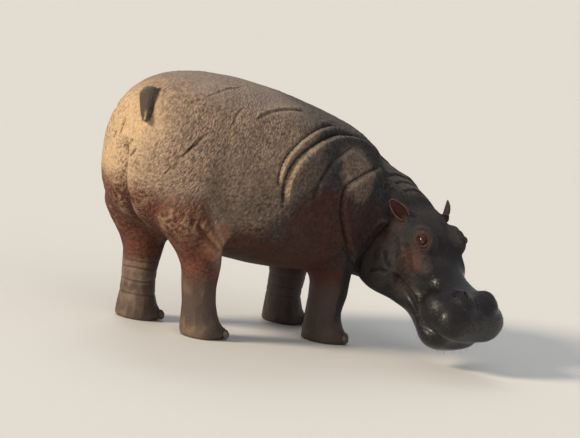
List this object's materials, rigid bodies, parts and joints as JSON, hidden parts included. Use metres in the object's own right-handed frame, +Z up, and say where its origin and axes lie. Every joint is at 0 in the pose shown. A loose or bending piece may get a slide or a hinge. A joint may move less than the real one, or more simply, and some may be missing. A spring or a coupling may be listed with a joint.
{
  "type": "hippopotamus",
  "caption": "Life-size adult hippopotamus standing square on her feet, head lowered and turned to her right, as a still museum model.",
  "frame": {"origin": "on the floor, under the middle of the model's bounding box", "axes": "+Z up, +X the way the trunk faces, +Y towards the animal's left; the head points along -Y"},
  "size_m": [2.0638, 1.7894, 1.4351],
  "materials": {
    "hide_body": "dry rough hide, grey-brown, reddish below",
    "hide_neck": "damp hide, dark grey-brown",
    "hide_head": "wet hide, charcoal",
    "hide_leg": "damp hide, grey-brown with a reddish tone",
    "hide_ear": "thin hide, red-brown inside",
    "hide_tail": "dark grey hide with stiff bristles",
    "eye": "wet, brown iris and dark pupil",
    "toenail": "dull dark horn"
  },
  "bodies": {
    "root": {"trunk": "hide_body", "neck": "hide_neck", "head": "hide_head", "lower_jaw": "hide_head", "ear_left": "hide_ear", "ear_right": "hide_ear", "eye_left": "eye", "eye_right": "eye", "tail": "hide_tail", "hind_leg_left": "hide_leg", "hind_foot_left": "hide_leg", "toenail_hind_left_1": "toenail", "toenail_hind_left_2": "toenail", "toenail_hind_left_3": "toenail", "toenail_hind_left_4": "toenail", "hind_leg_right": "hide_leg", "hind_foot_right": "hide_leg", "toenail_hind_right_1": "toenail", "toenail_hind_right_2": "toenail", "toenail_hind_right_3": "toenail", "toenail_hind_right_4": "toenail", "fore_leg_left": "hide_leg", "fore_foot_left": "hide_leg", "toenail_fore_left_1": "toenail", "toenail_fore_left_2": "toenail", "toenail_fore_left_3": "toenail", "toenail_fore_left_4": "toenail", "fore_leg_right": "hide_leg", "fore_foot_right": "hide_leg", "toenail_fore_right_1": "toenail", "toenail_fore_right_2": "toenail", "toenail_fore_right_3": "toenail", "toenail_fore_right_4": "toenail"}
  },
  "joints": []
}
